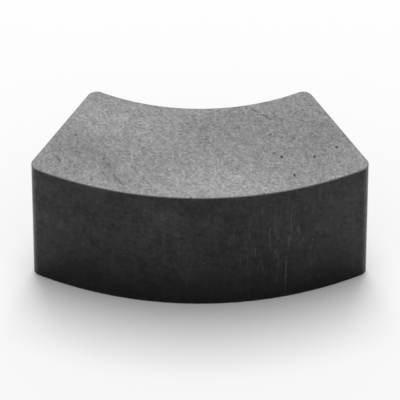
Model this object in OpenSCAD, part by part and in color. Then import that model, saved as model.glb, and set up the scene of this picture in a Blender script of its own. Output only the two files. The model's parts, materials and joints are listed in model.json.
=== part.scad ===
// Arc magnet: one segment of a ring of six hard-ferrite magnets.
// It stands on its lower ground face. The outer arc bulges towards -Y, and the
// common axis of both arcs runs along Z, out in front of the hollow side, at +Y.
// The origin is the middle of the footprint, on the lower face.

/* [Segment] */
// Radius of the outer arc, which seats in the ring or housing
outer_r = 51; // [44:0.5:70]
// Radius of the inner arc, which faces the rotor
inner_r = 32; // [20:0.5:34]
// Height between the lower and the upper ground face
height = 22; // [8:0.5:40]
// Angle between the two end faces, a little under a sixth of a turn
arc_angle = 59.5; // [30:0.5:90]

/* [Edges] */
// Radius of the four upright corners, as the press die leaves them
corner_r = 1.5; // [0.5:0.1:3]
// Width of the edge break that tumbling leaves around both ground faces
edge_break = 0.15; // [0.05:0.05:0.4]

/* [Hidden] */
$fn = 180;

half_angle = arc_angle / 2;

// How far the shapes that trim the ring run past it
margin = 2;

// Each upright corner is part of a post that touches an end face and one of the arcs.
// The post stands this little proud of both, so that it meets them in clean lines.
post_proud = 0.0005;
post_inset = corner_r - post_proud;

// Distances from the arcs' axis to the centres of the outer and the inner posts
outer_post_r = outer_r - post_inset;
inner_post_r = inner_r + post_inset;

// Angles at the arcs' axis between an end face and the centres of its two posts
outer_lean = asin(post_inset / outer_post_r);
inner_lean = asin(post_inset / inner_post_r);

// Distance in Y from the arcs' axis to the tips of the two inner corners
tip_at = inner_post_r * cos(half_angle - inner_lean) - corner_r;

// Place of the arcs' axis that puts the middle of the footprint at the origin
axis_y = (outer_r + tip_at) / 2;

// An end's frame has its origin on the arcs' axis. The end face lies in its plane x = 0,
// runs from the axis towards -Y, and has the magnet on its -X side.

// Point in an end's frame, at radius r on the ray that leans in from the end face
function on_ray(r, lean) = [-r * sin(lean), -r * cos(lean)];

// The whole ring that the segment is part of, with both ground faces and their edge breaks
module ring() {
    rotate_extrude()
        polygon([
            [inner_r + edge_break, 0],
            [outer_r - edge_break, 0],
            [outer_r, edge_break],
            [outer_r, height - edge_break],
            [outer_r - edge_break, height],
            [inner_r + edge_break, height],
            [inner_r, height - edge_break],
            [inner_r, edge_break]
        ]);
}

// Everything on the magnet's side of an end face. The slopes of its edge breaks run on
// past the ground faces, so that only the ring makes those.
module end_slab() {
    reach = outer_r + margin;
    rotate([90, 0, 0])
        linear_extrude(height = reach)
            polygon([
                [-reach, -margin],
                [-edge_break - margin, -margin],
                [0, edge_break],
                [0, height - edge_break],
                [-edge_break - margin, height + margin],
                [-reach, height + margin]
            ]);
}

// Round post inside a corner, with its edge breaks run on into points
module post() {
    point = corner_r - edge_break;
    rotate_extrude()
        polygon([
            [0, -point],
            [corner_r, edge_break],
            [corner_r, height - edge_break],
            [0, height + point]
        ]);
}

// What comes off one corner: all that lies between two lines from the post's centre,
// square to the end face and square to the arc, apart from the post itself
module corner_waste(post_r, lean, far_r) {
    centre = on_ray(post_r, lean);
    difference() {
        translate([0, 0, -margin])
            linear_extrude(height = height + 2 * margin)
                polygon([
                    centre,
                    [margin, centre[1]],
                    [margin, -far_r],
                    on_ray(far_r, lean)
                ]);
        translate(centre)
            post();
    }
}

// Puts what is drawn in an end's frame at both ends of the arc
module at_both_ends() {
    for (side = [0, 1])
        mirror([side, 0, 0])
            rotate([0, 0, half_angle])
                children();
}

// The magnet: one pressed, sintered and ground block of hard ferrite
module magnet() {
    color("dimgray")
        translate([0, axis_y, 0])
            difference() {
                intersection() {
                    ring();
                    rotate([0, 0, half_angle])
                        end_slab();
                    mirror([1, 0, 0])
                        rotate([0, 0, half_angle])
                            end_slab();
                }
                at_both_ends() {
                    corner_waste(outer_post_r, outer_lean, outer_r + margin);
                    corner_waste(inner_post_r, inner_lean, inner_r - margin);
                }
            }
}

magnet();
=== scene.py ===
# %% [markdown]
# # An arc magnet
#
# The object is one segment of a ring of ferrite magnets: a black ceramic block with two
# arcs, two radial ends and two flat faces ground to size. It has no parts to assemble, so
# all of its character is in the skin: a cloudy ground top, darker sides with faint lines
# along the height, small pits where grains fell out, and a fine break on every edge.
#
# The lesson goes from the frame to the camera, the block, the marks in it, the finishes,
# and last the light.

import json
import math

import bmesh
import bpy
import numpy as np
from mathutils import Matrix, Vector

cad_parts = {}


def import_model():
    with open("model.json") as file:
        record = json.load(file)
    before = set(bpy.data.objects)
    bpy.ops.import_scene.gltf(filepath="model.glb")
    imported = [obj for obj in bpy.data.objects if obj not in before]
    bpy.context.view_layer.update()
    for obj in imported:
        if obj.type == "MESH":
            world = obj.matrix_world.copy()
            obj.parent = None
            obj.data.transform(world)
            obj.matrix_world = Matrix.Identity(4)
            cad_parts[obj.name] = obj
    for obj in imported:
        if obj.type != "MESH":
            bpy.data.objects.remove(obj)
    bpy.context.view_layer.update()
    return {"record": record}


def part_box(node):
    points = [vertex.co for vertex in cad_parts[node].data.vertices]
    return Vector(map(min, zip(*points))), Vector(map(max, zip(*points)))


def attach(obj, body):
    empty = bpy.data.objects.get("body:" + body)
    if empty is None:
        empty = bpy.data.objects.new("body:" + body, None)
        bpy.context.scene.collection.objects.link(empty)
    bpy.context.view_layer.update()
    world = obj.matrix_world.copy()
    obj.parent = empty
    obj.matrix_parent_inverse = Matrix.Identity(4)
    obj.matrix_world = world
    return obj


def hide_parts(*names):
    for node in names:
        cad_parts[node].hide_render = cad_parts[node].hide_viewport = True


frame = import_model()
low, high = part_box("magnet")
print("CAD box in mm:", [round(1000 * (h - l), 2) for l, h in zip(low, high)])

# %% [markdown]
# ## The sizes
#
# Nothing is measured twice. The radii of both arcs come from the record's mounts, the
# angle from the direction that an end face looks in, and the height from the solid's box.
# The block is worked in millimetres, because its marks are a few hundredths of one and
# round numbers are easier to read. The finished mesh is scaled to metres once, at the end.

# %% Driving dimensions, in millimetres
METRE = 1000.0
mounts = {mount["name"]: mount for mount in frame["record"]["mounts"]}
OUTER_R = mounts["outer_arc"]["dims"]["r_mm"]
INNER_R = mounts["inner_arc"]["dims"]["r_mm"]
AXIS_Y = mounts["outer_arc"]["pos_m"][1] * METRE + OUTER_R
end_looks = mounts["right_end_face"]["axis"]
HALF_ANGLE = math.atan2(end_looks[1], end_looks[0])
HEIGHT = (high.z - low.z) * METRE
CORNER_R = 1.5
EDGE_BREAK = 0.15
print("radii", OUTER_R, "and", INNER_R, "height", round(HEIGHT, 2), "axis at y", round(AXIS_Y, 2))
print("angle between the ends:", round(math.degrees(2 * HALF_ANGLE), 2), "degrees")

# %% [markdown]
# ## The camera
#
# The ring was seen from in front and above, from about eighteen outer radii away. That
# place is kept, and the camera looks at the middle of the one segment. A long lens then
# fills the frame with it and leaves its perspective as it was.

# %% Camera
camera = bpy.data.objects.new("camera", bpy.data.cameras.new("camera"))
bpy.context.scene.collection.objects.link(camera)
camera.location = (0, (AXIS_Y - 675) / METRE, (HEIGHT + 613) / METRE)
looks_at = Vector((0, 0, (HEIGHT - 1) / 2 / METRE))
camera.rotation_euler = (looks_at - camera.location).to_track_quat("-Z", "Y").to_euler()
camera.data.lens = 540
camera.data.clip_start = 0.01
camera.data.clip_end = 20
bpy.context.scene.camera = camera
print("camera to magnet:", round((looks_at - camera.location).length, 3), "m")


# %% [markdown]
# ## Helpers for node trees
#
# Geometry trees and shader trees are wired the same way: add a node, set its properties,
# and fill each input with a plain value or with another node's output. Wiring by hand
# takes three lines a node, so a few small helpers do it.

# %% Wiring helpers
SOCKETS = {
    "number": "NodeSocketFloat",
    "count": "NodeSocketInt",
    "vector": "NodeSocketVector",
    "shape": "NodeSocketGeometry",
    "material": "NodeSocketMaterial",
}


def add(tree, kind, inputs=None, **settings):
    """Adds a node. inputs maps a socket's name or number to a value or an output."""
    node = tree.nodes.new(kind)
    for name, value in settings.items():
        setattr(node, name, value)
    for name, value in (inputs or {}).items():
        socket = node.inputs[name]
        if isinstance(value, bpy.types.NodeSocket):
            tree.links.new(value, socket)
        else:
            socket.default_value = value
    return node


def new_tree(name, kind, inputs, outputs):
    """Starts a tree. inputs are name: (type, value), and outputs are name: type."""
    tree = bpy.data.node_groups.new(name, kind)
    for label, (form, value) in inputs.items():
        socket = tree.interface.new_socket(label, in_out="INPUT", socket_type=SOCKETS[form])
        if value is not None:
            socket.default_value = value
    for label, form in outputs.items():
        tree.interface.new_socket(label, in_out="OUTPUT", socket_type=SOCKETS[form])
    start = tree.nodes.new("NodeGroupInput").outputs
    end = tree.nodes.new("NodeGroupOutput").inputs
    return tree, start, end


def calc(tree, operation, *values):
    """One step of arithmetic, as an output to wire on."""
    return add(tree, "ShaderNodeMath", dict(enumerate(values)), operation=operation).outputs[0]


def vector(tree, x=0.0, y=0.0, z=0.0):
    """Three numbers or outputs as one vector."""
    return add(tree, "ShaderNodeCombineXYZ", {"X": x, "Y": y, "Z": z}).outputs[0]


def part_of(tree, vector_output, axis):
    """One coordinate, X, Y or Z, of a vector."""
    return add(tree, "ShaderNodeSeparateXYZ", {0: vector_output}).outputs[axis]


# %% [markdown]
# ## Helpers for shapes
#
# A geometry tree reads best as a sentence: this shape, moved there, joined to that one and
# painted. Each helper below is one verb of it. The one that makes several curves into one
# deserves a word. Curves that are only joined stay separate ones, and a sweep along them
# would leave gaps. Turned into mesh edges, with the ends that meet welded, and turned back,
# they are one curve.


# %% Helpers for shapes in a geometry tree
def join(tree, *shapes):
    node = add(tree, "GeometryNodeJoinGeometry")
    for shape in shapes:
        tree.links.new(shape, node.inputs[0])
    return node.outputs[0]


def moved(tree, shape, by, **more):
    """A shape moved by a vector, and turned or scaled if Rotation or Scale is given."""
    inputs = {"Geometry": shape, "Translation": by} | more
    return add(tree, "GeometryNodeTransform", inputs).outputs[0]


def welded(tree, shape):
    """A shape with the points that lie on each other made one."""
    inputs = {"Geometry": shape, "Distance": 0.001}
    return add(tree, "GeometryNodeMergeByDistance", inputs).outputs[0]


def one_curve(tree, *curves):
    """Curves that touch at their ends, made one curve."""
    wire = add(tree, "GeometryNodeCurveToMesh", {"Curve": join(tree, *curves)}).outputs[0]
    return add(tree, "GeometryNodeMeshToCurve", {"Mesh": welded(tree, wire)}).outputs[0]


def painted(tree, shape, selection, material):
    """A shape whose selected faces wear a material."""
    inputs = {"Geometry": shape, "Selection": selection, "Material": material}
    return add(tree, "GeometryNodeSetMaterial", inputs).outputs[0]


def realized(tree, shape):
    return add(tree, "GeometryNodeRealizeInstances", {"Geometry": shape}).outputs[0]


# %% [markdown]
# ## Running a tree
#
# A tree works on a piece as a modifier. Its inputs are set by each socket's identifier,
# which never changes, while a name may. Once the tree has run, its result becomes the
# piece's own mesh and the modifier goes, so that later steps, and whoever opens the file,
# find an ordinary object.


# %% Running a geometry tree on a piece
def run_tree(piece, tree, values):
    """Puts a tree on a piece as a modifier. Each input is set by its socket's identifier."""
    modifier = piece.modifiers.new(tree.name, "NODES")
    modifier.node_group = tree
    for item in tree.interface.items_tree:
        if item.in_out == "INPUT" and item.name in values:
            modifier[item.identifier] = values[item.name]


def settle(piece):
    """Replaces a piece's mesh by what its modifiers make of it, and drops them."""
    graph = bpy.context.evaluated_depsgraph_get()
    made = bpy.data.meshes.new_from_object(piece.evaluated_get(graph))
    piece.modifiers.clear()
    piece.data = made
    print(piece.name, "has", len(made.polygons), "faces")


# %% [markdown]
# ## The block's outline
#
# Seen from above, the block is two arcs, two straight ends and four corner radii that flow
# into each other. A cube could be bent and bevelled into that, but then every size would
# be a guess. Here arithmetic places the pieces from the same sizes as the drawing has.
# Each corner is part of a circle that touches an end and an arc, so its centre leans in
# from the end by an angle that follows from the two radii.

# %% Arcs, lines and points
QUARTER = math.pi / 2


def arc(tree, steps, radius, start, sweep, centre=(0, 0, 0)):
    """An arc that starts at an angle from +X and sweeps on from there."""
    inputs = {"Resolution": steps, "Radius": radius, "Start Angle": start, "Sweep Angle": sweep}
    return moved(tree, add(tree, "GeometryNodeCurveArc", inputs, mode="RADIUS").outputs[0], centre)


def line(tree, start, end):
    inputs = {"Start": start, "End": end}
    return add(tree, "GeometryNodeCurvePrimitiveLine", inputs).outputs[0]


def on_ray(tree, radius, angle):
    """The point at a radius and at an angle from -Y towards +X."""
    x = calc(tree, "MULTIPLY", radius, calc(tree, "SINE", angle))
    y = calc(tree, "MULTIPLY", radius, calc(tree, "COSINE", angle))
    return vector(tree, x, calc(tree, "MULTIPLY", y, -1))


# %% Outline tree
SEGMENT_SIZES = {
    "Outer Radius": ("number", 51.0),
    "Inner Radius": ("number", 32.0),
    "Corner Radius": ("number", 1.5),
    "Half Angle": ("number", 0.52),
    "Arc Steps": ("count", 60),
    "Corner Steps": ("count", 16),
}


def outline_tree():
    tree, size, out = new_tree(
        "Segment outline", "GeometryNodeTree", SEGMENT_SIZES, {"Outline": "shape"}
    )
    corner = size["Corner Radius"]
    half = size["Half Angle"]
    parts = []
    end_points = []
    for name, inwards in (("Outer Radius", -1), ("Inner Radius", 1)):
        centre_r = calc(tree, "MULTIPLY_ADD", corner, inwards, size[name])
        lean = calc(tree, "ARCSINE", calc(tree, "DIVIDE", corner, centre_r))
        aim = calc(tree, "SUBTRACT", half, lean)
        parts.append(arc(tree, size["Arc Steps"], size[name], -QUARTER, aim))
        # The outer corner turns from the arc to the end, the inner one from end to arc.
        start = calc(tree, "SUBTRACT", aim, QUARTER) if inwards < 0 else half
        sweep = calc(tree, "MULTIPLY_ADD", lean, -inwards, QUARTER)
        centre = on_ray(tree, centre_r, aim)
        parts.append(arc(tree, size["Corner Steps"], corner, start, sweep, centre))
        reach = calc(tree, "MULTIPLY", centre_r, calc(tree, "COSINE", lean))
        end_points.append(on_ray(tree, reach, half))
    right = join(tree, *parts, line(tree, *end_points))
    left = moved(tree, right, (0, 0, 0), Scale=(-1, 1, 1))
    tree.links.new(one_curve(tree, right, left), out["Outline"])
    return tree


segment_outline = outline_tree()
print("outline tree:", len(segment_outline.nodes), "nodes")

# %% [markdown]
# ## The block
#
# The block is pressed upright in a die, so its wall is one profile carried around the
# outline: a straight line with a small round at each end, where tumbling broke the edges.
# The two ground faces then close it, each one flat face that fills the wall's rim.
#
# The sweep can't close the block by itself, because its caps belong to the ends of an open
# path, and this path is closed. But the wall's rim is a closed curve too, and Fill Curve
# turns that into one clean face.


# %% The wall and the faces that close it
def swept_wall(tree, size, outline):
    """The wall. A swept profile hangs below its path, from z = 0 to z = -Height."""
    edge = size["Edge Break"]
    upper = calc(tree, "SUBTRACT", size["Height"], edge)
    steps = size["Edge Steps"]
    profile = one_curve(
        tree,
        arc(tree, steps, edge, -QUARTER, -QUARTER, vector(tree, edge, edge)),
        line(tree, vector(tree, 0.0, edge), vector(tree, 0.0, upper)),
        arc(tree, steps, edge, math.pi, -QUARTER, vector(tree, edge, upper)),
    )
    inputs = {"Curve": outline, "Profile Curve": profile}
    return add(tree, "GeometryNodeCurveToMesh", inputs).outputs[0]


def filled_rim(tree, wall, height):
    """One face that fills the wall's upper rim, at z = 0."""
    faces_on_edge = add(tree, "GeometryNodeInputMeshEdgeNeighbors").outputs[0]
    open_edge = calc(tree, "LESS_THAN", faces_on_edge, 2)
    place = add(tree, "GeometryNodeInputPosition").outputs[0]
    middle = calc(tree, "MULTIPLY", height, -0.5)
    upper = calc(tree, "GREATER_THAN", part_of(tree, place, "Z"), middle)
    inputs = {"Mesh": wall, "Selection": calc(tree, "MULTIPLY", open_edge, upper)}
    rim = add(tree, "GeometryNodeMeshToCurve", inputs).outputs[0]
    return add(tree, "GeometryNodeFillCurve", {"Curve": rim}, mode="NGONS").outputs[0]


# %% [markdown]
# ## Paint by slope
#
# The slope of a face says how it was made, and that chooses its finish. Level faces were
# ground, upright ones were left as pressed, and those in between are the worn edges. So the
# tree paints the whole block as pressed first, then all that leans at all as worn, and then
# all that lies level as ground.


# %% Block tree
def levelness(tree):
    """How level a face lies: 1 for the ground faces and 0 for the upright ones."""
    normal = add(tree, "GeometryNodeInputNormal").outputs["True Normal"]
    return calc(tree, "ABSOLUTE", part_of(tree, normal, "Z"))


def block_tree():
    sizes = {
        "Height": ("number", 22.0),
        "Edge Break": ("number", 0.15),
        "Edge Steps": ("count", 5),
        "Axis Y": ("number", 39.65),
        "Pressed": ("material", None),
        "Worn": ("material", None),
        "Ground": ("material", None),
    }
    tree, size, out = new_tree(
        "Segment block", "GeometryNodeTree", SEGMENT_SIZES | sizes, {"Block": "shape"}
    )
    inputs = {name: size[name] for name in SEGMENT_SIZES}
    outline = add(tree, "GeometryNodeGroup", inputs, node_tree=segment_outline).outputs[0]
    wall = swept_wall(tree, size, outline)
    top = filled_rim(tree, wall, size["Height"])
    drop = vector(tree, z=calc(tree, "MULTIPLY", size["Height"], -1))
    bottom = add(tree, "GeometryNodeFlipFaces", {"Mesh": moved(tree, top, drop)}).outputs[0]
    home = vector(tree, 0.0, size["Axis Y"], size["Height"])
    block = moved(tree, welded(tree, join(tree, wall, top, bottom)), home)
    block = realized(tree, block)
    level = levelness(tree)
    block = painted(tree, block, True, size["Pressed"])
    block = painted(tree, block, calc(tree, "GREATER_THAN", level, 0.01), size["Worn"])
    block = painted(tree, block, calc(tree, "GREATER_THAN", level, 0.999), size["Ground"])
    tree.links.new(block, out["Block"])
    return tree


segment_block = block_tree()
print("block tree:", len(segment_block.nodes), "nodes")

# %% [markdown]
# ## The block itself
#
# The tree paints while it builds, so the materials have to exist before it runs. They are
# made here, still empty: the pressed walls, the worn edges, the ground faces, and what pits,
# scuffs and scratches lay bare. Then an empty piece runs the tree with the real sizes.

# %% Making the block
FINISHES = ("pressed", "worn", "ground", "broken", "scuffed", "scratched")
finish = {name: bpy.data.materials.new("ferrite_" + name) for name in FINISHES}

magnet = bpy.data.objects.new("magnet_skin", bpy.data.meshes.new("magnet_skin"))
bpy.context.scene.collection.objects.link(magnet)
run_tree(
    magnet,
    segment_block,
    {
        "Outer Radius": OUTER_R,
        "Inner Radius": INNER_R,
        "Corner Radius": CORNER_R,
        "Half Angle": HALF_ANGLE,
        "Height": HEIGHT,
        "Edge Break": EDGE_BREAK,
        "Axis Y": AXIS_Y,
        "Pressed": finish["pressed"],
        "Worn": finish["worn"],
        "Ground": finish["ground"],
    },
)
settle(magnet)

# %% [markdown]
# ## Lost grains
#
# Ferrite is sintered powder, and grinding and handling tear single grains and small
# clusters out of it. They leave shallow pits with ragged rims: many fine ones in the
# ground faces, fewer in the pressed ones, and a row of tiny nicks along the edges. A bump
# map could fake them, but a pit a few tenths of a millimetre across has an edge and a
# shadow of its own, so they are cut. One lumpy grain is the tool. A tree scatters it over
# the faces of one slope, turned and sized at random from a fixed seed, and cuts it out.


# %% Tree of one lumpy grain
def grain_tree():
    inputs = {
        "Lumpiness": ("number", 1.6),
        "Lift": ("number", 0.4),
        "Variant": ("number", 0.0),
        "Fineness": ("count", 3),
    }
    tree, size, out = new_tree("Lumpy grain", "GeometryNodeTree", inputs, {"Grain": "shape"})
    inputs = {"Radius": 1.0, "Subdivisions": size["Fineness"]}
    ball = add(tree, "GeometryNodeMeshIcoSphere", inputs).outputs[0]
    inputs = {"W": size["Variant"], "Scale": 1.8, "Detail": 3.0, "Roughness": 0.6}
    noise = add(tree, "ShaderNodeTexNoise", inputs, noise_dimensions="4D").outputs[0]
    swell = calc(tree, "MULTIPLY", calc(tree, "SUBTRACT", noise, 0.5), size["Lumpiness"])
    outwards = add(tree, "GeometryNodeInputNormal").outputs[0]
    inputs = {0: outwards, "Scale": swell}
    offset = add(tree, "ShaderNodeVectorMath", inputs, operation="SCALE").outputs[0]
    inputs = {"Geometry": ball, "Offset": offset}
    lump = add(tree, "GeometryNodeSetPosition", inputs).outputs[0]
    tree.links.new(moved(tree, lump, vector(tree, z=size["Lift"])), out["Grain"])
    return tree


lumpy_grain = grain_tree()
print("grain tree:", len(lumpy_grain.nodes), "nodes")

# %% [markdown]
# ## Cutting, and painting the cut
#
# A boolean takes the grains out of the block. Afterwards nothing tells a pit's floor from
# the face around it, so the cutters get a mark of their own first: an attribute that is
# true on their faces and passes on to the faces that they leave behind. The painter looks
# for it, and then it goes.


# %% Cutter with a mark
def cut_out(tree, block, cutters, material):
    """The block less the cutters, with a material on what the cut laid bare."""
    inputs = {"Geometry": cutters, "Name": "cut", "Value": True}
    store = {"data_type": "BOOLEAN", "domain": "FACE"}
    cutters = add(tree, "GeometryNodeStoreNamedAttribute", inputs, **store).outputs[0]
    cut = add(tree, "GeometryNodeMeshBoolean", operation="DIFFERENCE", solver="MANIFOLD")
    tree.links.new(block, cut.inputs[0])
    tree.links.new(cutters, cut.inputs[1])
    laid_bare = add(tree, "GeometryNodeInputNamedAttribute", {"Name": "cut"}, data_type="BOOLEAN")
    shape = painted(tree, realized(tree, cut.outputs[0]), laid_bare.outputs[0], material)
    inputs = {"Geometry": shape, "Name": "cut"}
    return add(tree, "GeometryNodeRemoveAttribute", inputs).outputs[0]


# %% [markdown]
# ## Scattering the grains
#
# Points are scattered over the faces whose slope lies between two limits, no two of them
# closer than a gap. On each point stands a grain, turned to the face and then spun at
# random. Grains of all sizes fall out, but mostly fine ones, so the size comes from a power
# of a random number, which stays near its low end.


# %% Tree that scatters and cuts grains
def random_number(tree, least, most, seed):
    inputs = {2: least, 3: most, "Seed": seed}
    return add(tree, "FunctionNodeRandomValue", inputs, data_type="FLOAT").outputs[1]


def lost_grains_tree():
    inputs = {
        "Block": ("shape", None),
        "Least Level": ("number", 0.9),
        "Most Level": ("number", 1.1),
        "Density": ("number", 0.1),
        "Gap": ("number", 0.5),
        "Smallest": ("number", 0.04),
        "Largest": ("number", 0.2),
        "Depth": ("number", 0.4),
        "Seed": ("count", 1),
        "Broken": ("material", None),
    }
    tree, size, out = new_tree("Lost grains", "GeometryNodeTree", inputs, {"Block": "shape"})
    level = levelness(tree)
    above = calc(tree, "GREATER_THAN", level, size["Least Level"])
    below = calc(tree, "LESS_THAN", level, size["Most Level"])
    inputs = {
        "Mesh": size["Block"],
        "Selection": calc(tree, "MULTIPLY", above, below),
        "Distance Min": size["Gap"],
        "Density Max": size["Density"],
        "Seed": size["Seed"],
    }
    spots = add(
        tree, "GeometryNodeDistributePointsOnFaces", inputs, distribute_method="POISSON"
    ).outputs
    inputs = {"Axis": (0, 0, 1), "Angle": random_number(tree, 0.0, math.tau, 1)}
    spin = add(tree, "FunctionNodeAxisAngleToRotation", inputs).outputs[0]
    inputs = {0: spots["Rotation"], 1: spin}
    turn = add(tree, "FunctionNodeRotateRotation", inputs, rotation_space="LOCAL").outputs[0]
    rarity = calc(tree, "POWER", random_number(tree, 0.0, 1.0, 2), 2.5)
    spread = calc(tree, "SUBTRACT", size["Largest"], size["Smallest"])
    length = calc(tree, "MULTIPLY_ADD", rarity, spread, size["Smallest"])
    width = calc(tree, "MULTIPLY", length, random_number(tree, 0.6, 1.1, 3))
    depth = calc(tree, "MULTIPLY", length, size["Depth"])
    inputs = {
        "Points": spots["Points"],
        "Instance": add(tree, "GeometryNodeGroup", node_tree=lumpy_grain).outputs[0],
        "Rotation": turn,
        "Scale": vector(tree, length, width, depth),
    }
    grains = add(tree, "GeometryNodeInstanceOnPoints", inputs).outputs[0]
    cut = cut_out(tree, size["Block"], realized(tree, grains), size["Broken"])
    tree.links.new(cut, out["Block"])
    return tree


lost_grains = lost_grains_tree()
print("lost grains tree:", len(lost_grains.nodes), "nodes")

# %% [markdown]
# ## Where grains were lost
#
# The wheel loosens many fine grains in the ground faces, and the pits stay shallow there.
# The pressed walls lost fewer. The edges lost the most: they knock against other parts in
# the tumbler and in the box, so their nicks are close together, larger and deeper.

# %% Grains lost from the ground faces, the pressed faces and the edges
LOST = {
    "ground faces": {
        "Least Level": 0.999,
        "Density": 0.1,
        "Largest": 0.11,
        "Depth": 0.3,
        "Seed": 2,
    },
    "pressed faces": {
        "Least Level": -1.0,
        "Most Level": 0.01,
        "Density": 0.06,
        "Largest": 0.12,
        "Seed": 4,
    },
    "edges": {
        "Least Level": 0.01,
        "Most Level": 0.999,
        "Density": 1.2,
        "Gap": 0.7,
        "Smallest": 0.05,
        "Largest": 0.22,
        "Depth": 0.7,
        "Seed": 5,
    },
}
for where, values in LOST.items():
    run_tree(magnet, lost_grains, values | {"Broken": finish["broken"]})
    print("grains lost from the", where, "up to", values["Largest"], "mm")
settle(magnet)

# %% [markdown]
# ## Marks that this one magnet has
#
# A scatter makes the surface believable, but what makes it this magnet are the few larger
# marks in their own places. They are of three kinds. Pits are where a cluster of grains
# fell out: four on the right of the top, a chip in the rim in front of them, and small ones
# in the outer face. Scuffs are shallow dents and strokes in the top, left by something hard
# that slid over it. Scratches run down the outer face, where it rubbed against its mate.
#
# Each mark is written down by its place on the surface and its size, and the same lumpy
# grain, stretched, cuts them all. A place on the top is an angle from the middle and a
# radius, and a place on the outer face is the same angle and a height.


# %% Marks by their places and sizes
def on_top(angle, radius, length, width, depth, turn=0.0):
    """A mark in the top: its place, rotation and size. Angles are in degrees."""
    a = math.radians(angle)
    place = (radius * math.sin(a), AXIS_Y - radius * math.cos(a), HEIGHT)
    return place, (0, 0, math.radians(turn)), (length / 2, width / 2, depth)


def on_outer_face(angle, height, length, width, depth, slant=0.0):
    """A mark in the outer face. Its length runs along the height, unless it slants."""
    a = math.radians(angle)
    place = (OUTER_R * math.sin(a), AXIS_Y - OUTER_R * math.cos(a), height)
    return place, (QUARTER, math.radians(slant), a), (width / 2, length / 2, depth)


PITS = [
    on_top(15.8, 44.0, 0.58, 0.48, 0.14, 20),
    on_top(21.7, 45.5, 0.62, 0.48, 0.14, 80),
    on_top(26.5, 45.0, 0.60, 0.42, 0.12, -10),
    on_top(16.7, 48.2, 0.80, 0.34, 0.10, 100),
    on_top(22.1, 50.95, 0.55, 0.26, 0.12, 22),
    on_outer_face(-6.0, 14.0, 0.30, 0.25, 0.05),
    on_outer_face(-13.0, 17.5, 0.30, 0.25, 0.05),
    on_outer_face(3.5, 9.5, 0.35, 0.25, 0.05),
    on_outer_face(11.0, 5.5, 0.30, 0.25, 0.05),
]
SCUFFS = [
    on_top(14.6, 43.0, 0.64, 0.50, 0.06, 0),
    on_top(19.8, 40.7, 0.64, 0.46, 0.05, 60),
    on_top(15.4, 39.0, 0.70, 0.50, 0.06, 90),
    on_top(7.1, 45.2, 0.46, 0.36, 0.05, 10),
    on_top(-25.9, 41.9, 0.56, 0.42, 0.05, 15),
    on_top(-23.8, 45.0, 0.52, 0.40, 0.05, 50),
    on_top(-17.0, 46.0, 0.90, 0.56, 0.04, -60),
    on_top(-18.3, 45.0, 0.52, 0.40, 0.05, 40),
    on_top(-17.3, 47.8, 0.60, 0.36, 0.04, -40),
    on_top(-25.9, 47.6, 2.20, 0.32, 0.04, -66),
    on_top(-14.3, 48.6, 2.60, 0.30, 0.035, -57),
    on_top(16.2, 35.2, 2.40, 0.40, 0.05, -41),
    on_top(13.9, 33.3, 1.80, 0.28, 0.03, -41),
]
SCRATCHES = [
    on_outer_face(14.4, 4.9, 7.60, 0.14, 0.015, 1),
    on_outer_face(15.3, 15.5, 6.60, 0.20, 0.012, -1),
    on_outer_face(11.8, 14.6, 3.00, 0.12, 0.008, 25),
    on_outer_face(9.2, 10.0, 2.20, 0.14, 0.008, 0),
    on_outer_face(19.1, 10.8, 0.45, 0.35, 0.03),
]


print(len(PITS), "pits,", len(SCUFFS), "scuffs and", len(SCRATCHES), "scratches")

# %% [markdown]
# ## Cutting the marks
#
# A tree is built from each list, with one stretched grain for each mark, finer than the
# scattered ones and lumpy in its own way. The kinds are cut apart because each lays bare
# something else: a pit the broken inside, a scuff a smeared surface, a scratch a groove.


# %% Tree that cuts listed marks
MARK_FINENESS = 4


def marks_tree(name, marks):
    inputs = {"Block": ("shape", None), "Material": ("material", None)}
    tree, size, out = new_tree(name, "GeometryNodeTree", inputs, {"Block": "shape"})
    cutters = []
    for number, (place, rotation, scale) in enumerate(marks):
        inputs = {"Variant": number, "Fineness": MARK_FINENESS}
        grain = add(tree, "GeometryNodeGroup", inputs, node_tree=lumpy_grain).outputs[0]
        cutters.append(moved(tree, grain, place, Rotation=rotation, Scale=scale))
    cut = cut_out(tree, size["Block"], join(tree, *cutters), size["Material"])
    tree.links.new(cut, out["Block"])
    return tree


KINDS = {"Pits": (PITS, "broken"), "Scuffs": (SCUFFS, "scuffed")}
KINDS["Scratches"] = (SCRATCHES, "scratched")
for name, (marks, bare) in KINDS.items():
    run_tree(magnet, marks_tree(name, marks), {"Material": finish[bare]})
settle(magnet)

# %% [markdown]
# ## Crisp edges, and the size in metres
#
# The arcs have to shade as one smooth surface, and the rims have to stay crisp. Blender
# blends the shading of faces that share a smooth edge, and a flat face that blends with
# its rim looks swollen. So an edge is sharp where two finishes meet, or where the surface
# turns by more than thirty degrees, and smooth everywhere else.

# %% Shading and scale
CREASE = math.radians(30)


def shade(mesh):
    solid = bmesh.new()
    solid.from_mesh(mesh)
    sharp = 0
    for face in solid.faces:
        face.smooth = True
    for edge in solid.edges:
        one, other = edge.link_faces
        same_finish = one.material_index == other.material_index
        edge.smooth = same_finish and edge.calc_face_angle() < CREASE
        sharp += not edge.smooth
    solid.to_mesh(mesh)
    solid.free()
    print("sharp edges:", sharp)


shade(magnet.data)

# %% [markdown]
# ## A neat map for baking
#
# The finishes are patterns in space and need no map. But whoever bakes them into an image
# does, and an automatic unwrap breaks the pits into thousands of islands. The block
# unrolls into six plain ones: top and bottom seen from above, both arcs unrolled by angle,
# and both ends seen from the side. Each face goes to the island that it faces most, with
# the pits in it.


# %% Reading a mesh into arrays
def read(items, name, kind, width=1):
    """One value of every item of a mesh, or so many rows of values."""
    values = np.empty(len(items) * width, kind)
    items.foreach_get(name, values)
    return values.reshape(-1, width).T if width > 1 else values


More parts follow.
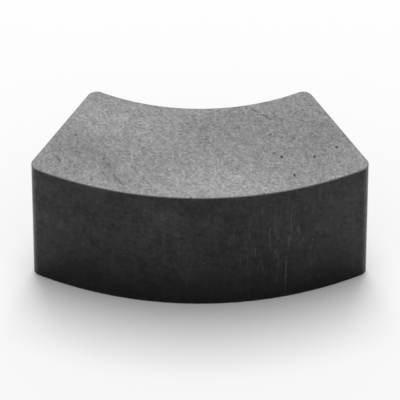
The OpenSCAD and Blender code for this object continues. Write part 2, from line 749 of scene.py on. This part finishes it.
# %% Bake map
def unrolled(mesh, name):
    vertex = read(mesh.loops, "vertex_index", np.int32)
    x, y, z = read(mesh.vertices, "co", np.float32, 3)[:, vertex]
    y = y - AXIS_Y
    radius = np.hypot(x, y)
    angle = np.arctan2(x, -y)
    nx, ny, nz = read(mesh.polygons, "normal", np.float32, 3)
    sizes = read(mesh.polygons, "loop_total", np.int32)
    face = np.repeat(np.arange(len(sizes)), sizes)
    middle_angle = np.bincount(face, angle) / sizes
    away = nx * np.sin(middle_angle) - ny * np.cos(middle_angle)
    around = nx * np.cos(middle_angle) + ny * np.sin(middle_angle)
    # How much each face looks up, down, away from the axis, towards it, right and left
    looks = np.stack([nz, -nz, away, -away, around, -around])
    island = looks.argmax(0)[face]
    gap = 1.5
    row = HEIGHT + gap
    half_width = OUTER_R * math.sin(HALF_ANGLE)
    wide = 2 * half_width + gap
    deep = OUTER_R - INNER_R * math.cos(HALF_ANGLE) + gap
    # For each of these islands: the way across, the way up, and the place of its corner
    islands = [
        (x + half_width, y + OUTER_R, 0, 0),
        (x + half_width, y + OUTER_R, 0, deep),
        (angle * OUTER_R, z, OUTER_R * HALF_ANGLE, 2 * deep),
        (angle * INNER_R, z, INNER_R * HALF_ANGLE, 2 * deep + row),
        (radius - INNER_R, z, wide, 0),
        (radius - INNER_R, z, wide, row),
    ]
    u = np.choose(island, [across + left for across, up, left, foot in islands])
    v = np.choose(island, [up + foot for across, up, left, foot in islands])
    side = 2 * (deep + row)
    layer = mesh.uv_layers.new(name=name)
    places = (np.stack([u, v], 1) + gap / 2) / side
    layer.uv.foreach_set("vector", places.astype(np.float32).ravel())
    print("islands hold", np.bincount(island), "corners on a map", round(side, 1), "mm wide")


unrolled(magnet.data, "OFBake")
magnet.data.transform(Matrix.Scale(1 / METRE, 4))

# %% [markdown]
# ## Where a finish is on the block
#
# Wear and dirt depend on where they are: edges rub, lines run along the height. A small
# shader group turns Object coordinates into millimetres from the arcs' axis, and into the
# distances to the nearest edge, in the ground faces and in the upright ones. It needs no
# map, and it bakes as it is.


# %% Place group
def place_group():
    outputs = {"Place": "vector", "To Outline": "number", "To Ground Face": "number"}
    outputs |= {"Radius": "number", "Angle": "number"}
    inputs = {
        "Outer Radius": ("number", 51.0),
        "Inner Radius": ("number", 32.0),
        "Half Angle": ("number", 0.52),
        "Height": ("number", 22.0),
        "Axis Y": ("number", 39.65),
    }
    tree, size, out = new_tree("Place on the block", "ShaderNodeTree", inputs, outputs)
    metres = add(tree, "ShaderNodeTexCoord").outputs["Object"]
    from_axis = vector(tree, y=calc(tree, "MULTIPLY", size["Axis Y"], -1))
    inputs = {"Vector": metres, "Location": from_axis, "Scale": (METRE, METRE, METRE)}
    place = add(tree, "ShaderNodeMapping", inputs).outputs[0]
    x = part_of(tree, place, "X")
    y = part_of(tree, place, "Y")
    z = part_of(tree, place, "Z")
    level = vector(tree, x, y)
    radius = add(tree, "ShaderNodeVectorMath", {0: level}, operation="LENGTH").outputs["Value"]
    to_arcs = calc(
        tree,
        "MINIMUM",
        calc(tree, "SUBTRACT", size["Outer Radius"], radius),
        calc(tree, "SUBTRACT", radius, size["Inner Radius"]),
    )
    sine = calc(tree, "SINE", size["Half Angle"])
    cosine = calc(tree, "COSINE", size["Half Angle"])
    past_end = calc(tree, "MULTIPLY", calc(tree, "ABSOLUTE", x), cosine)
    past_end = calc(tree, "MULTIPLY_ADD", y, sine, past_end)
    to_end = calc(tree, "MULTIPLY", past_end, -1)
    tree.links.new(place, out["Place"])
    tree.links.new(calc(tree, "MINIMUM", to_arcs, to_end), out["To Outline"])
    above = calc(tree, "SUBTRACT", size["Height"], z)
    tree.links.new(calc(tree, "MINIMUM", z, above), out["To Ground Face"])
    tree.links.new(radius, out["Radius"])
    angle = calc(tree, "ARCTAN2", x, calc(tree, "MULTIPLY", y, -1))
    tree.links.new(angle, out["Angle"])
    return tree


block_place = place_group()
print("place group:", len(block_place.nodes), "nodes")

# %% [markdown]
# ## Using a group
#
# A group is wired up like any node, with numbers or outputs on its named inputs. The block's
# own sizes go into the place group wherever it is used, so they are kept together.

# %% Using a group in a material
BLOCK_SIZES = {
    "Outer Radius": OUTER_R,
    "Inner Radius": INNER_R,
    "Half Angle": HALF_ANGLE,
    "Height": HEIGHT,
    "Axis Y": AXIS_Y,
}


def use_group(tree, group, inputs):
    return add(tree, "ShaderNodeGroup", inputs, node_tree=group).outputs


print("sizes for the place group:", {name: round(v, 2) for name, v in BLOCK_SIZES.items()})

# %% [markdown]
# ## The sintered skin
#
# Sintered ferrite is never one even tone. Under a wide light it shows clouds a few
# millimetres across, where the powder was denser, a mottle inside them, flecks of a few
# tenths, and the grain itself. One group mixes three sizes of noise into a shade that
# multiplies a colour, and into a relief for the bump. The clouds' noise has a high
# roughness, so the mottle inside them is as strong as they are. Every finish uses the
# group, with its own strengths.


# %% Skin group
def noise(tree, place, size, detail, roughness=0.5):
    """Noise about 0 whose features measure about size, in millimetres."""
    scale = calc(tree, "DIVIDE", 1.0, size)
    inputs = {"Vector": place, "Scale": scale, "Detail": detail, "Roughness": roughness}
    value = add(tree, "ShaderNodeTexNoise", inputs).outputs["Fac"]
    return calc(tree, "SUBTRACT", value, 0.5)


def skin_group():
    inputs = {
        "Place": ("vector", None),
        "Cloud Size": ("number", 5.0),
        "Fleck Size": ("number", 0.7),
        "Grain Size": ("number", 0.25),
        "Clouds": ("number", 0.5),
        "Flecks": ("number", 0.5),
        "Grain": ("number", 0.5),
    }
    outputs = {"Shade": "number", "Relief": "number"}
    tree, size, out = new_tree("Sintered skin", "ShaderNodeTree", inputs, outputs)
    clouds = noise(tree, size["Place"], size["Cloud Size"], 3.0, 0.9)
    flecks = noise(tree, size["Place"], size["Fleck Size"], 1.0)
    grain = noise(tree, size["Place"], size["Grain Size"], 1.0)
    shade_value = calc(tree, "MULTIPLY_ADD", clouds, size["Clouds"], 1.0)
    shade_value = calc(tree, "MULTIPLY_ADD", flecks, size["Flecks"], shade_value)
    shade_value = calc(tree, "MULTIPLY_ADD", grain, size["Grain"], shade_value)
    tree.links.new(shade_value, out["Shade"])
    tree.links.new(calc(tree, "MULTIPLY_ADD", flecks, 2.0, grain), out["Relief"])
    return tree


sintered_skin = skin_group()
print("skin group:", len(sintered_skin.nodes), "nodes")

# %% [markdown]
# ## Fine lines
#
# Grinding, the die and handling all leave lines, which differ only in direction, length
# and number. Noise that is squeezed across a direction and drawn out along it gives
# streaks, light and dark, and a threshold keeps the few strongest as lines. Turning the
# coordinates first sets the direction.


# %% Line group
def lines_group():
    inputs = {
        "Place": ("vector", None),
        "Turn": ("vector", (0, 0, 0)),
        "Cell": ("vector", (4, 0.1, 0.1)),
        "Threshold": ("number", 0.6),
        "Softness": ("number", 0.1),
    }
    outputs = {"Lines": "number", "Streaks": "number"}
    tree, size, out = new_tree("Fine lines", "ShaderNodeTree", inputs, outputs)
    inputs = {"Vector": size["Place"], "Rotation": size["Turn"]}
    turned = add(
        tree, "ShaderNodeVectorRotate", inputs, rotation_type="EULER_XYZ"
    ).outputs[0]
    inputs = {0: turned, 1: size["Cell"]}
    squeezed = add(tree, "ShaderNodeVectorMath", inputs, operation="DIVIDE").outputs[0]
    inputs = {"Vector": squeezed, "Scale": 1.0, "Detail": 1.0}
    streaks = add(tree, "ShaderNodeTexNoise", inputs).outputs["Fac"]
    over = calc(tree, "SUBTRACT", streaks, size["Threshold"])
    inputs = {0: over, 1: size["Softness"]}
    lines = add(tree, "ShaderNodeMath", inputs, operation="DIVIDE", use_clamp=True).outputs[0]
    tree.links.new(lines, out["Lines"])
    tree.links.new(calc(tree, "SUBTRACT", streaks, 0.5), out["Streaks"])
    return tree


fine_lines = lines_group()
print("line group:", len(fine_lines.nodes), "nodes")

# %% [markdown]
# ## Starting a material
#
# Every finish starts alike: a Principled shader, whose gloss is one plain number, and the
# group that says where on the block a point is. The shader stays in the material, and
# only patterns come from the groups, so a bake finds everything it needs.


# %% Helpers for materials
def start_material(name, specular):
    """An empty material with a Principled shader, ready for its patterns."""
    material = finish[name]
    material.use_nodes = True
    tree = material.node_tree
    tree.nodes.clear()
    shader = add(tree, "ShaderNodeBsdfPrincipled", {"Specular IOR Level": specular})
    add(tree, "ShaderNodeOutputMaterial", {"Surface": shader.outputs[0]})
    place = use_group(tree, block_place, BLOCK_SIZES)
    return tree, shader, place


def bump(tree, shader, relief, height_mm):
    """Feeds a relief of about one unit to the shader, as a bump of so many millimetres."""
    inputs = {"Height": relief, "Distance": height_mm / METRE, "Strength": 1.0}
    node = add(tree, "ShaderNodeBump", inputs)
    tree.links.new(node.outputs[0], shader.inputs["Normal"])


def ramp(tree, value, start, end, low_value, high_value):
    """Turns a value that runs from start to end into one from low_value to high_value."""
    inputs = {"Value": value, 1: start, 2: end, 3: low_value, 4: high_value}
    kind = "SMOOTHSTEP"
    return add(tree, "ShaderNodeMapRange", inputs, interpolation_type=kind).outputs[0]


def tinted(tree, tone, mask, strength):
    """A tone made lighter where a mask is above 0, or darker if strength is below 0."""
    return calc(tree, "MULTIPLY", tone, calc(tree, "MULTIPLY_ADD", mask, strength, 1.0))


# %% [markdown]
# ## Patches of the ground faces
#
# A ground face has broad soft patches, where the wheel cut a little deeper or less. Two of
# them are painted sheen and shade of the overhead lamp instead: a light one along the front
# of the outer rim and a dark one at the back on the right. They are few and each has its own
# place, so they aren't left to noise but are a short list: the place from the arcs' axis,
# the half length and half width, the turn in degrees, and the strength, which is below 0 for
# a dark one.


# %% Patches of the ground faces
GROUND_PATCHES_AND_SHEEN = [
    ((-13.0, -34.5), 11.0, 5.5, -20, 0.18),
    # Painted sheen: lighter along the front of the outer rim.
    ((2.5, -48.5), 12.0, 5.0, 0, 0.26),
    ((5.0, -36.0), 10.0, 6.0, 10, -0.17),
    ((6.0, -38.4), 3.0, 2.2, 0, -0.07),
    ((-17.5, -41.0), 6.5, 4.5, -30, -0.22),
    ((-13.0, -45.5), 5.0, 1.8, -60, -0.18),
    ((-13.4, -44.0), 1.9, 1.0, -62, -0.18),
    ((-5.0, -41.5), 6.0, 3.0, 0, -0.06),
    # Painted shade: darker at the back on the right, where the top takes less of the lamp's sheen.
    ((17.5, -37.5), 11.0, 8.0, 60, -0.2),
    ((21.5, -43.0), 4.0, 1.5, 60, 0.05),
]


def patch(tree, place, centre, length, width, turn):
    """A soft ellipse: 1 in its middle and 0 at its rim, at any height."""
    inputs = {
        "Vector": place,
        "Location": (*centre, 0),
        "Rotation": (0, 0, math.radians(turn)),
        "Scale": (length, width, METRE),
    }
    inside = add(tree, "ShaderNodeMapping", inputs, vector_type="TEXTURE").outputs[0]
    reach = add(tree, "ShaderNodeVectorMath", {0: inside}, operation="LENGTH").outputs["Value"]
    return ramp(tree, reach, 0.0, 1.3, 1.0, 0.0)


print(len(GROUND_PATCHES_AND_SHEEN), "patches")

# %% [markdown]
# ## Ground ferrite
#
# The two ground faces are the lightest: the wheel leaves a fine matt surface that spreads
# the light, and part of their light tone is painted sheen of the overhead lamp. Their tone is
# the skin's, with a coarser grain and the patches over it, two of which are painted sheen
# and shade. Then come short streaks across the arc, which the wheel drew, hairlines from
# being slid about, and dark flecks, which are the same lines with a cell as long as it is
# wide. Near the outline the face is rubbed a little lighter. Where the skin is lighter it is
# also smoother.


# %% Ground finish
# Of each set of lines, the turn of its direction in radians, and the strength
WHEEL_STREAKS = [(-1.6, 0.45), (-2.2, 0.65)]
HAIRLINES = [(-1.3, 0.10), (-2.2, 0.12), (-0.6, 0.08)]


def ground_finish():
    tree, shader, place = start_material("ground", 0.5)
    where = place["Place"]
    inputs = {"Place": where, "Grain Size": 0.35, "Clouds": 0.4, "Flecks": 0.75, "Grain": 1.3}
    skin = use_group(tree, sintered_skin, inputs)
    # Partly painted sheen: the base tone is set lighter than the dark ferrite, for the lamp's
    # sheen on the ground face.
    tone = calc(tree, "MULTIPLY", skin["Shade"], 0.2)
    # Below the top the patches slide to the side, so that the lower face has its own.
    below_top = calc(tree, "SUBTRACT", HEIGHT, part_of(tree, where, "Z"))
    across = calc(tree, "ADD", part_of(tree, where, "X"), below_top)
    face = vector(tree, across, part_of(tree, where, "Y"))
    for centre, length, width, turn, strength in GROUND_PATCHES_AND_SHEEN:
        tone = tinted(tree, tone, patch(tree, face, centre, length, width, turn), strength)
    for turn, strength in WHEEL_STREAKS:
        inputs = {"Place": where, "Turn": (0, 0, turn), "Cell": (2.2, 0.5, 0.5)}
        tone = tinted(tree, tone, use_group(tree, fine_lines, inputs)["Streaks"], strength)
    for turn, strength in HAIRLINES:
        inputs = {"Place": where, "Turn": (0, 0, turn), "Cell": (5.0, 0.15, 0.15)}
        tone = tinted(tree, tone, use_group(tree, fine_lines, inputs)["Lines"], strength)
    inputs = {"Place": where, "Cell": (0.6, 0.6, 0.6), "Threshold": 0.6, "Softness": 0.08}
    tone = tinted(tree, tone, use_group(tree, fine_lines, inputs)["Lines"], -0.25)
    tone = tinted(tree, tone, ramp(tree, place["To Outline"], 0.0, 1.5, 1.0, 0.0), 0.05)
    tree.links.new(tone, shader.inputs["Base Color"])
    rough = calc(tree, "MULTIPLY_ADD", skin["Shade"], -0.15, 0.6)
    tree.links.new(rough, shader.inputs["Roughness"])
    bump(tree, shader, skin["Relief"], 0.01)


ground_finish()
print("ground finish:", len(finish["ground"].node_tree.nodes), "nodes")

# %% [markdown]
# ## Pressed ferrite
#
# The upright faces were never ground. The die left them smooth, burnished in some spots more
# than in others, with faint lines where the powder slid along the die. Their colour is set
# almost black, darker than the ferrite itself, as painted shade of faces turned from the lamp.
# What one sees there is mostly gloss: they mirror the floor, dark near the contact and light
# further out. So the pattern goes into the weight of a thin coat, where it makes the gloss
# uneven, and only a little of it into the colour. Towards the bottom, coat and colour both
# fade, which is painted shade of the contact.
#
# The outer face has patches too. They lie on the face unrolled: the way along the arc, and
# the height. The last of them, a darker band along the whole bottom, is painted shade of the
# contact. On the right the face was rubbed, so the lines are stronger there.


# %% Pressed finish
WALL_PATCHES_AND_CONTACT_SHADE = [
    ((-5.5, 15.0), 5.5, 7.0, 0, 0.2),
    ((-15.0, 9.0), 5.0, 7.0, 0, -0.15),
    ((-19.5, 17.0), 4.0, 2.0, 0, -0.12),
    ((-25.0, 9.0), 4.0, 6.0, 0, 0.2),
    ((3.5, 8.0), 3.0, 8.0, 0, -0.15),
    ((10.0, 7.0), 3.0, 7.0, -15, -0.2),
    ((7.3, 11.5), 1.2, 2.0, 0, 0.2),
    ((-1.3, 6.0), 1.0, 3.0, 0, 0.2),
    ((12.5, 17.0), 3.0, 4.0, 0, 0.15),
    ((24.0, 14.0), 3.5, 6.0, 0, 0.15),
    # Painted shade: a darker band along the bottom of the face, by the contact.
    ((0.0, 1.5), 16.0, 3.0, 0, -0.12),
]
RUBBED = ((11.0, 9.0), 9.0, 12.0, 0)
# Two sets of lines along the height, by the size of their cells in millimetres
DIE_LINES = [(0.2, 0.2, 5.0), (0.5, 0.5, 3.0)]


def pressed_finish():
    tree, shader, place = start_material("pressed", 0.12)
    where = place["Place"]
    skin = use_group(
        tree, sintered_skin, {"Place": where, "Clouds": 1.8, "Flecks": 1.35, "Grain": 1.2}
    )
    # Away from the outer face the patches slide along, so that the inner arc has its own.
    inwards = calc(tree, "SUBTRACT", OUTER_R, place["Radius"])
    along = calc(tree, "MULTIPLY", place["Angle"], OUTER_R)
    along = calc(tree, "MULTIPLY_ADD", inwards, 2.0, along)
    height = part_of(tree, where, "Z")
    wall = vector(tree, along, height)
    tone = skin["Shade"]
    for centre, length, width, turn, strength in WALL_PATCHES_AND_CONTACT_SHADE:
        tone = tinted(tree, tone, patch(tree, wall, centre, length, width, turn), strength)
    rubbed = ramp(tree, patch(tree, wall, *RUBBED), 0.0, 1.0, 0.15, 0.8)
    for cell in DIE_LINES:
        inputs = {"Place": where, "Cell": cell, "Threshold": 0.6}
        drawn = use_group(tree, fine_lines, inputs)
        tone = tinted(tree, tone, drawn["Streaks"], 0.35)
        tone = tinted(tree, tone, drawn["Lines"], rubbed)
    # Painted shade: coat and colour fade towards the bottom, by the contact.
    painted_contact_shade = ramp(tree, height, 0.0, 12.0, 0.5, 0.98)
    tone = calc(tree, "MULTIPLY", tone, painted_contact_shade)
    tree.links.new(calc(tree, "MULTIPLY", tone, 0.3), shader.inputs["Coat Weight"])
    # Painted shade: the colour is set almost black, darker than the ferrite itself.
    tree.links.new(calc(tree, "MULTIPLY", tone, 0.005), shader.inputs["Base Color"])
    shader.inputs["Coat Roughness"].default_value = 0.25
    shader.inputs["Roughness"].default_value = 0.3
    bump(tree, shader, skin["Relief"], 0.006)


pressed_finish()
print("pressed finish:", len(finish["pressed"].node_tree.nodes), "nodes")

# %% [markdown]
# ## What the marks lay bare, and the worn edges
#
# The floor of a pit is broken ceramic: dark, rough and almost without gloss. A scuff is
# smeared rather than broken, so it is only a little darker than the ground face around it.
# A scratch is as dark as the pressed wall, but its groove is rougher and so catches more
# light. The worn edges were polished in the tumbler, and shine a little. One function
# makes all four: a tone, a gloss, a roughness, and how strong the flecks and the grain are.


# %% Broken, scuffed, scratched and worn finishes
def plain_finish(name, base, specular, roughness, grain):
    tree, shader, place = start_material(name, specular)
    inputs = {"Place": place["Place"], "Clouds": 0.3, "Flecks": grain, "Grain": grain}
    skin = use_group(tree, sintered_skin, inputs)
    tree.links.new(calc(tree, "MULTIPLY", skin["Shade"], base), shader.inputs["Base Color"])
    rough = calc(tree, "MULTIPLY_ADD", skin["Shade"], -0.1, roughness + 0.1)
    tree.links.new(rough, shader.inputs["Roughness"])
    bump(tree, shader, skin["Relief"], 0.01)


PLAIN = {
    "broken": (0.06, 0.2, 0.8, 1.0),
    "scuffed": (0.13, 0.3, 0.7, 0.8),
    "scratched": (0.05, 0.3, 0.6, 0.6),
    "worn": (0.12, 0.5, 0.4, 0.5),
}
for name, values in PLAIN.items():
    plain_finish(name, *values)
    print(name, "finish: tone, gloss, roughness and grain are", values)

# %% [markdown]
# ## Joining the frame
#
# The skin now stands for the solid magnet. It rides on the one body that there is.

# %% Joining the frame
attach(magnet, "root")
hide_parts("magnet")
print(magnet.name, "stands for the solid magnet")

# %% [markdown]
# ## A pale floor
#
# The magnet stands on a matt white table. One plain square does, wide enough that its rim
# never shows. It is more than a background: it takes the soft shadow, and the dark walls
# mirror it, which is most of what one sees of them. Its paint has no gloss, so that it
# looks the same from every side.


# %% Floor
FLOOR_HALF = 3.0
FLOOR_WHITE = 0.95


def floor():
    mesh = bpy.data.meshes.new("floor")
    signs = [(-1, -1), (1, -1), (1, 1), (-1, 1)]
    corners = [(x * FLOOR_HALF, y * FLOOR_HALF, 0) for x, y in signs]
    mesh.from_pydata(corners, [], [(0, 1, 2, 3)])
    piece = bpy.data.objects.new("floor", mesh)
    bpy.context.scene.collection.objects.link(piece)
    paint = bpy.data.materials.new("floor_paint")
    paint.use_nodes = True
    shader = paint.node_tree.nodes["Principled BSDF"]
    shader.inputs["Base Color"].default_value = (FLOOR_WHITE, FLOOR_WHITE, FLOOR_WHITE, 1)
    shader.inputs["Roughness"].default_value = 0.9
    shader.inputs["Specular IOR Level"].default_value = 0.0
    mesh.materials.append(paint)
    print("floor:", 2 * FLOOR_HALF, "m wide")


floor()

# %% [markdown]
# ## One soft light
#
# A small part is best shown under one big soft light, overhead and a little behind. The
# ground top then takes a gentle sheen, the wall in front stays dark, and the shadow is short
# and falls forward. How soft its rim is depends on how large the lamp looks from the part,
# so the lamp's size matters more than its place.


# %% Lamp
def softbox(name, place, width, depth, watts):
    lamp = bpy.data.lights.new(name, "AREA")
    lamp.shape = "RECTANGLE"
    lamp.size = width
    lamp.size_y = depth
    lamp.energy = watts
    piece = bpy.data.objects.new(name, lamp)
    piece.location = place
    piece.rotation_euler = (-Vector(place)).to_track_quat("-Z", "Y").to_euler()
    bpy.context.scene.collection.objects.link(piece)
    print(name, "gives", watts, "W")


softbox("overhead_softbox", (0, 0.19, 0.78), 0.34, 0.6, 5.3)

# %% [markdown]
# ## The room around
#
# Light that a white room throws back fills the shadows. The world gives it, at three tenths
# of white. The camera, and a glossy face that mirrors the room, should see plain white all
# the same. Light Path tells their rays from the ones that carry light, so they find a
# brighter world, and the magnet gets no more light from it.

# %% World
AMBIENT = 0.3


def world():
    made = bpy.data.worlds.new("studio")
    bpy.context.scene.world = made
    made.use_nodes = True
    tree = made.node_tree
    tree.nodes.clear()
    path = add(tree, "ShaderNodeLightPath").outputs
    seen = calc(tree, "MAXIMUM", path["Is Camera Ray"], path["Is Glossy Ray"])
    seen = calc(tree, "MAXIMUM", seen, path["Is Transmission Ray"])
    strength = ramp(tree, seen, 0.0, 1.0, AMBIENT, 1.0)
    inputs = {"Color": (1, 1, 1, 1), "Strength": strength}
    light = add(tree, "ShaderNodeBackground", inputs).outputs[0]
    add(tree, "ShaderNodeOutputWorld", {"Surface": light})


world()
bpy.context.scene.view_settings.view_transform = "Standard"
print("ambient light:", AMBIENT)
